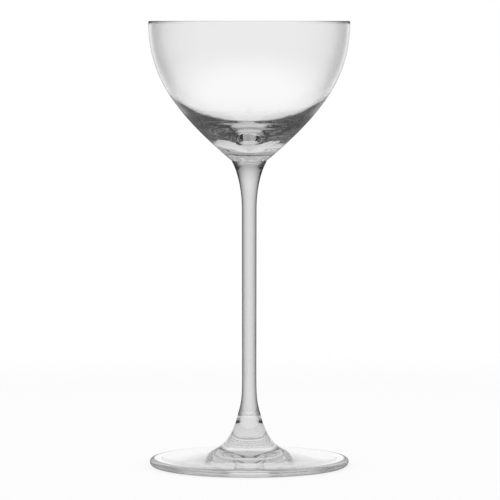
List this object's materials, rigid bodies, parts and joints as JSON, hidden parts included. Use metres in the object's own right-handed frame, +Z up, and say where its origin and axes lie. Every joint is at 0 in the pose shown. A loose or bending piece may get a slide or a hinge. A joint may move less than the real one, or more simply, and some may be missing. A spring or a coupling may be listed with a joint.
{
  "type": "nick and nora glass",
  "caption": "Clear stemmed cocktail glass: a thin, egg-shaped bowl with a solid base on a long slim stem that flares into a thin round foot.",
  "frame": {"origin": "on the glass's axis, in the plane of the flat ring that it rests on", "axes": "+Z up along the glass's axis, from the foot to the rim; +X and +Y are level and alike, because the glass is round"},
  "size_m": [0.079, 0.079, 0.175],
  "materials": {
    "clear_glass": "clear, colourless, fire-polished; smooth and glossy inside and out"
  },
  "bodies": {
    "root": {"bowl": "clear_glass", "stem": "clear_glass", "foot": "clear_glass"}
  },
  "joints": []
}
